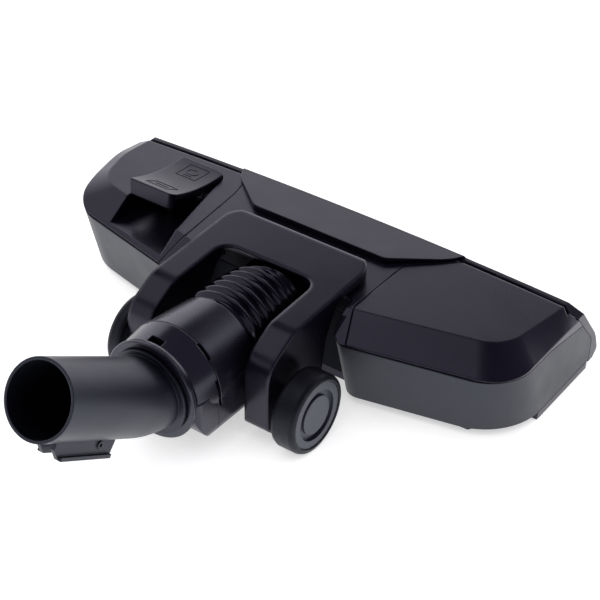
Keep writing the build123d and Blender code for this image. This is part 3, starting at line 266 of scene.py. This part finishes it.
hub_mat = plastic("hub_plastic", (0.055, 0.060, 0.072), 0.42, edge=0.6, grain=2400.0, strength=0.12,
                  tint=SLATE)
tyre_mat = rubber("tyre_rubber", (0.0070, 0.0072, 0.0095), 0.45)
soft_mat = rubber("soft_rubber", (0.008, 0.008, 0.009), 0.6)
bristle_mat = plastic("bristle", (0.012, 0.012, 0.012), 0.35, edge=0.1, grain=3000.0)
icon_mat = plastic("icon_plastic", scaled(BLACK, 0.5), 0.3, edge=0.1, grain=2500.0)
lint_mat = pile("lint_fabric", (0.16, 0.02, 0.022))
steel_mat = steel("steel", (0.55, 0.55, 0.56))

# Material of each CAD node
FINISH = {
    "skirt": skirt_mat,
    "centre_housing": body_mat,
    "left_cover": lid_mat,
    "right_cover": lid_mat,
    "front_cover": front_mat,
    "sole_plate": sole_mat,
    "left_lint_strip": lint_mat,
    "right_lint_strip": lint_mat,
    "sole_screws": steel_mat,
    "inlet_duct": inner_mat,
    "pedal_pin": steel_mat,
    "left_fork_pin": steel_mat,
    "right_fork_pin": steel_mat,
    "return_springs": steel_mat,
    "brush_carrier": inner_mat,
    "front_bristles": bristle_mat,
    "rear_bristles": bristle_mat,
    "rubber_lip": soft_mat,
    "pedal": pedal_mat,
    "fork": fork_shaded_mat,
    "left_axle": steel_mat,
    "right_axle": steel_mat,
    "hose": hose_mat,
    "right_tyre": tyre_mat,
    "left_tyre": tyre_mat,
    "right_hub": hub_mat,
    "left_hub": hub_mat,
    "neck_front_shell": neck_mat,
    "neck_rear_shell": neck_mat,
    "neck_bezel": neck_mat,
    "elbow_tube": tube_mat,
    "elbow_seal": soft_mat,
}
for node_name, node_mat in FINISH.items():
    nodes[node_name].data.materials.clear()
    nodes[node_name].data.materials.append(node_mat)


def new_object(name, mesh, mat):
    mesh.materials.append(mat)
    o = bpy.data.objects.new(name, mesh)
    bpy.context.scene.collection.objects.link(o)
    return o


# Corrugated hose, turned about its own axis
HOSE_REAR_Y = -71.0
HOSE_FRONT_Y = -10.0
HOSE_FALL = math.radians(2.0)
HOSE_Z = 36.6
HOSE_CREST = [(-71.0, 24.9), (-41.0, 24.7), (-30.0, 23.8), (-24.0, 21.6), (-19.0, 19.4), (-15.5, 18.6),
              (-10.0, 18.6)]
HOSE_RIB = 3.0
HOSE_WALL = 1.0
HOSE_RIBS = 8
HOSE_RIB_START = -62.4
HOSE_PITCH = 5.95
HOSE_STEPS = 14
HOSE_SIDES = 96
HOSE_PEAK = 0.95       # below 1 the crests are broad, above 1 they are sharp
HOSE_EPS = 0.01


def crest_radius(y):
    for (y0, r0), (y1, r1) in zip(HOSE_CREST, HOSE_CREST[1:]):
        if y <= y1:
            return r0 + (r1 - r0) * (y - y0) / (y1 - y0)
    return HOSE_CREST[-1][1]


def make_hose(name, rear_y, front_y):
    """One length of the hose, from rear_y to front_y."""
    profile = [(rear_y, crest_radius(rear_y) - HOSE_RIB)]
    for i in range(HOSE_RIBS):
        for k in range(HOSE_STEPS):
            share = k / HOSE_STEPS
            y = HOSE_RIB_START + (i + share) * HOSE_PITCH
            wave = 0.5 - 0.5 * math.cos(2 * math.pi * share)
            if rear_y + HOSE_EPS < y < front_y - HOSE_EPS:
                profile.append((y, crest_radius(y) - HOSE_RIB * (1 - wave ** HOSE_PEAK)))
    last_root = HOSE_RIB_START + HOSE_RIBS * HOSE_PITCH
    if last_root < front_y - HOSE_EPS:
        profile.append((last_root, crest_radius(last_root) - HOSE_RIB))
    profile.append((front_y, crest_radius(front_y) - HOSE_RIB))
    inside = [rear_y] + [y for y, r in HOSE_CREST if rear_y + HOSE_EPS < y < front_y - HOSE_EPS] + [front_y]
    profile += [(y, crest_radius(y) - HOSE_RIB - HOSE_WALL) for y in reversed(inside)]
    axis = Vector((0, math.cos(HOSE_FALL), -math.sin(HOSE_FALL)))
    upright = Vector((0, math.sin(HOSE_FALL), math.cos(HOSE_FALL)))
    start = Vector((0, HOSE_REAR_Y, HOSE_Z))
    bm = bmesh.new()
    rings = []
    for y, r in profile:
        centre = start + axis * ((y - HOSE_REAR_Y) / math.cos(HOSE_FALL))
        ring = []
        for s in range(HOSE_SIDES):
            a = 2 * math.pi * s / HOSE_SIDES
            spoke = Vector((math.cos(a) * r, 0, 0)) + upright * math.sin(a) * r
            ring.append(bm.verts.new((centre + spoke) * MM))
        rings.append(ring)
    for a, b in zip(rings, rings[1:] + rings[:1]):
        for s in range(HOSE_SIDES):
            t = (s + 1) % HOSE_SIDES
            bm.faces.new((a[s], b[s], b[t], a[t]))
    bmesh.ops.recalc_face_normals(bm, faces=bm.faces)
    mesh = bpy.data.meshes.new(name)
    bm.to_mesh(mesh)
    bm.free()
    mesh.shade_smooth()
    o = new_object(name, mesh, hose_mat)
    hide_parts("hose")
    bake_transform(o)


# The hose is made in two lengths; the front one ends on the duct's spigot
HOSE_REAR_RIBS = 6
HOSE_SPLIT_Y = HOSE_RIB_START + HOSE_REAR_RIBS * HOSE_PITCH
make_hose("hose_ribbed", HOSE_REAR_Y, HOSE_SPLIT_Y)
make_hose("hose_front", HOSE_SPLIT_Y, HOSE_FRONT_Y)


def make_springs():
    cad = nodes["return_springs"]
    mesh = cad.data.copy()
    mesh.materials.clear()
    o = new_object("return_springs_coil", mesh, steel_mat)
    o.matrix_world = cad.matrix_world.copy()
    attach(o, "head")
    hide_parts("return_springs")
    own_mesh(o)


make_springs()


# Bristle strips: tufts of tapered filaments
TUFT_PITCH = 2.6
FILAMENTS = 12
FILAMENT_R = 0.16
TUFT_REACH = 0.42      # of the pitch
TUFT_DEPTH = 0.72      # of the strip's width
TUFT_RINGS = 4
FILAMENT_SIDES = 4
SWIRL = 0.6
TIP_TAPER = 0.7
LEAN = 0.5
SPLAY = 0.3
TIP_UNEVEN = 0.5


def make_bristles(node, name, seed):
    low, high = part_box(node)
    rng = random.Random(seed)
    bm = bmesh.new()
    count = int((high.x - low.x) / (TUFT_PITCH * MM))
    mid_y = (low.y + high.y) / 2
    half_y = (high.y - low.y) / 2 * TUFT_DEPTH
    for i in range(count):
        x = low.x + (high.x - low.x) * (i + 0.5) / count
        for k in range(FILAMENTS):
            a = 2 * math.pi * (k + rng.random() * SWIRL) / FILAMENTS
            reach = math.sqrt((k % TUFT_RINGS + 1) / TUFT_RINGS)
            fx = x + math.cos(a) * reach * TUFT_PITCH * TUFT_REACH * MM
            fy = mid_y + math.sin(a) * reach * half_y
            lean_x = (rng.random() - 0.5) * LEAN * MM
            lean_y = (fy - mid_y) * SPLAY + (rng.random() - 0.5) * SPLAY * MM
            lean_y = max(min(lean_y, high.y - fy), low.y - fy)
            lean_x = max(min(lean_x, high.x - fx), low.x - fx)
            tip = low.z + rng.random() * TIP_UNEVEN * MM
            r = FILAMENT_R * MM
            top = []
            foot = []
            for s in range(FILAMENT_SIDES):
                b = 2 * math.pi * s / FILAMENT_SIDES
                c = Vector((math.cos(b), math.sin(b), 0)) * r
                top.append(bm.verts.new(Vector((fx, fy, high.z)) + c))
                foot.append(bm.verts.new(Vector((fx + lean_x, fy + lean_y, tip)) + c * TIP_TAPER))
            for s in range(FILAMENT_SIDES):
                t = (s + 1) % FILAMENT_SIDES
                bm.faces.new((top[s], top[t], foot[t], foot[s]))
            bm.faces.new(foot)
            bm.faces.new(list(reversed(top)))
    bmesh.ops.recalc_face_normals(bm, faces=bm.faces)
    mesh = bpy.data.meshes.new(name)
    bm.to_mesh(mesh)
    bm.free()
    o = new_object(name, mesh, bristle_mat)
    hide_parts(node)
    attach(o, "brush")


make_bristles("front_bristles", "front_bristle_tufts", 11)
make_bristles("rear_bristles", "rear_bristle_tufts", 12)


# Plain pictograms moulded on the pedal
def surface_of(node):
    mesh = nodes[node].data
    return BVHTree.FromPolygons([v.co for v in mesh.vertices], [p.vertices for p in mesh.polygons])


pedal_top = surface_of("pedal")
ICON_SINK = 0.06
ICON_W = 0.55
ICON_T = 0.22
ICON_TOP_SHARE = 0.7
ABOVE_PEDAL = 0.2


def drop(x, y):
    hit = pedal_top.ray_cast(Vector((x * MM, y * MM, ABOVE_PEDAL)), Vector((0, 0, -1)))
    return hit[0]


def icon_line(bm, points, closed):
    """A low flat-topped rib that follows the dished top."""
    pts = [Vector((x, y, 0)) for x, y in points]
    n = len(pts)
    rows = []
    for i, p in enumerate(pts):
        before = pts[i - 1] if (closed or i > 0) else p
        after = pts[(i + 1) % n] if (closed or i < n - 1) else p
        way = (after - before).normalized()
        side = Vector((-way.y, way.x, 0)) * ICON_W / 2
        row = []
        section = ((side, -ICON_SINK), (side * ICON_TOP_SHARE, ICON_T), (side * -ICON_TOP_SHARE, ICON_T),
                   (-side, -ICON_SINK))
        for offset, lift in section:
            q = p + offset
            base = drop(q.x, q.y)
            row.append(bm.verts.new(base + Vector((0, 0, lift * MM))))
        rows.append(row)
    last = n if closed else n - 1
    for i in range(last):
        a, b = rows[i], rows[(i + 1) % n]
        for k in range(3):
            bm.faces.new((a[k], a[k + 1], b[k + 1], b[k]))
        bm.faces.new((a[3], a[0], b[0], b[3]))
    if not closed:
        bm.faces.new(rows[0])
        bm.faces.new(list(reversed(rows[-1])))


def run(points, step=0.6, closed=False):
    """Points along straight runs, close enough to follow the dish."""
    made = []
    ends = points + points[:1] if closed else points
    for (x0, y0), (x1, y1) in zip(ends, ends[1:]):
        count = max(1, int(math.hypot(x1 - x0, y1 - y0) / step))
        made += [(x0 + (x1 - x0) * i / count, y0 + (y1 - y0) * i / count) for i in range(count)]
    if not closed:
        made.append(points[-1])
    return made


def ellipse(x, y, rx, ry, count=40):
    return [(x + rx * math.cos(2 * math.pi * i / count), y + ry * math.sin(2 * math.pi * i / count))
            for i in range(count)]


def make_icon(name, lines):
    bm = bmesh.new()
    for points, closed in lines:
        icon_line(bm, points, closed)
    bmesh.ops.recalc_face_normals(bm, faces=bm.faces)
    mesh = bpy.data.meshes.new(name)
    bm.to_mesh(mesh)
    bm.free()
    o = new_object(name, mesh, icon_mat)
    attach(o, "pedal")


ICON_X = -87.0
FRONT_ICON_Y = 26.5
REAR_ICON_Y = 1.2
SQUARE = 6.4
SQUARE_CORNERS = ((-1, -1), (1, -1), (1, 1), (-1, 1))
DISC_RX = 3.6
DISC_RY = 2.6
BAR_HALF_W = 2.6
BAR_DROP = 4.4
RUG_LONG = 8.5
RUG_SHORT = 5.5
RUG_HALF_D = 2.6
RUG_LINE_HALF_W = 4.0
square_points = [(ICON_X + a * SQUARE, FRONT_ICON_Y + b * SQUARE) for a, b in SQUARE_CORNERS]
bar_y = FRONT_ICON_Y - BAR_DROP
rug_rear = REAR_ICON_Y - RUG_HALF_D
rug_front = REAR_ICON_Y + RUG_HALF_D
make_icon("icon_hard_floor", [
    (run(square_points, closed=True), True),
    (ellipse(ICON_X, FRONT_ICON_Y, DISC_RX, DISC_RY), True),
    (run([(ICON_X - BAR_HALF_W, bar_y), (ICON_X + BAR_HALF_W, bar_y)]), False),
])
make_icon("icon_carpet", [
    (run([(ICON_X - RUG_LONG, rug_rear), (ICON_X + RUG_SHORT, rug_rear),
          (ICON_X + RUG_LONG, rug_front), (ICON_X - RUG_SHORT, rug_front)], closed=True), True),
    (run([(ICON_X - RUG_LINE_HALF_W, REAR_ICON_Y), (ICON_X + RUG_LINE_HALF_W, REAR_ICON_Y)]), False),
])


# Floor and light
FLOOR_HALF_W = 6.0
FLOOR_GLOW = 1.0
# Painted shadow on the floor: its glow drops under and around the object
PAINTED_SHADOW_GLOW = 0.45
PAINTED_SHADOW_REACH = 0.05
COVERED_AO = 0.05
OPEN_AO = 0.55
FLOOR_DARK = (0.60, 0.60, 0.60)
FLOOR_PALE = (0.62, 0.62, 0.62)
BACKDROP_TILT = 0.6
BACKDROP_TOP = 0.56
BACKDROP_END = 0.66
CEILING_START = 0.80
BACKDROP = (1.0, 0.98, 1.04)
ABOVE = (0.036, 0.032, 0.05)
CEILING = (0.13, 0.12, 0.17)
WORLD_STRENGTH = 1.34
REAR_SHARE = 0.5
REAR_END = -0.2
FRONT_START = 0.3


def make_floor():
    reach = FLOOR_HALF_W
    corners = [(-reach, -reach, 0), (reach, -reach, 0), (reach, reach, 0), (-reach, reach, 0)]
    mesh = bpy.data.meshes.new("floor")
    mesh.from_pydata(corners, [], [(0, 1, 2, 3)])
    t = Tree("floor")
    t.link(t.ramp(t.noise(3.0), FLOOR_DARK, FLOOR_PALE), t.shader.inputs["Base Color"])
    t.shader.inputs["Roughness"].default_value = 0.9
    t.shader.inputs["Specular IOR Level"].default_value = 0.1
    t.shader.inputs["Emission Color"].default_value = (1, 1, 1, 1)
    # Painted shadow: the glow is dimmed by ambient occlusion where the object covers the floor
    shadow_ao = t.node("ShaderNodeAmbientOcclusion", Distance=PAINTED_SHADOW_REACH, samples=8)
    shadowed_glow = t.span(shadow_ao.outputs["AO"], PAINTED_SHADOW_GLOW, FLOOR_GLOW, COVERED_AO, OPEN_AO)
    t.link(shadowed_glow, t.shader.inputs["Emission Strength"])
    new_object("floor", mesh, t.mat)


def make_light(name, place, aim, size, power):
    data = bpy.data.lights.new(name, "AREA")
    data.shape = "RECTANGLE"
    data.size, data.size_y = size
    data.energy = power
    o = bpy.data.objects.new(name, data)
    o.location = place
    o.rotation_euler = (Vector(aim) - Vector(place)).to_track_quat("-Z", "Y").to_euler()
    bpy.context.scene.collection.objects.link(o)


def make_world():
    """Studio that is bright low down and dim above."""
    world = bpy.data.worlds.new("studio")
    world.use_nodes = True
    tree = world.node_tree
    coords = tree.nodes.new("ShaderNodeTexCoord").outputs["Generated"]
    # The lit backdrop stands higher on the left than on the right
    tilt = tree.nodes.new("ShaderNodeVectorMath")
    tilt.operation = "DOT_PRODUCT"
    tilt.inputs[1].default_value = (BACKDROP_TILT, 0.0, 1.0)
    tree.links.new(coords, tilt.inputs[0])
    height = tree.nodes.new("ShaderNodeMath")
    height.operation = "ADD"
    height.inputs[1].default_value = 0.5 * BACKDROP_TILT
    tree.links.new(tilt.outputs["Value"], height.inputs[0])
    ramp = tree.nodes.new("ShaderNodeValToRGB")
    marks = [(0.0, BACKDROP), (BACKDROP_TOP, BACKDROP), (BACKDROP_END, ABOVE), (CEILING_START, ABOVE),
             (1.0, CEILING)]
    while len(ramp.color_ramp.elements) < len(marks):
        ramp.color_ramp.elements.new(0.5)
    for element, (place, colour) in zip(ramp.color_ramp.elements, marks):
        element.position = place
        element.color = (*colour, 1.0)
    tree.links.new(height.outputs["Value"], ramp.inputs["Fac"])
    tree.links.new(ramp.outputs["Color"], tree.nodes["Background"].inputs["Color"])
    # It is weaker behind the tube than in front of the head
    split = tree.nodes.new("ShaderNodeSeparateXYZ")
    tree.links.new(coords, split.inputs["Vector"])
    share = tree.nodes.new("ShaderNodeMapRange")
    for key, value in (("From Min", REAR_END), ("From Max", FRONT_START),
                       ("To Min", REAR_SHARE * WORLD_STRENGTH), ("To Max", WORLD_STRENGTH)):
        share.inputs[key].default_value = value
    tree.links.new(split.outputs["Y"], share.inputs["Value"])
    tree.links.new(share.outputs["Result"], tree.nodes["Background"].inputs["Strength"])
    bpy.context.scene.world = world


make_camera()
make_floor()
make_world()
make_light("softbox_near", place=(0.75, -1.25, 0.55), aim=(0.02, -0.03, 0.03), size=(1.0, 0.6), power=0.7)
make_light("softbox_top", place=(-0.60, -0.55, 1.6), aim=(0.0, 0.0, 0.0), size=(1.5, 0.9), power=3.2)
make_light("softbox_front", place=(0.45, 1.5, 0.75), aim=(0.0, 0.0, 0.03), size=(1.2, 0.8), power=3.0)
bpy.context.scene.view_settings.view_transform = "Standard"
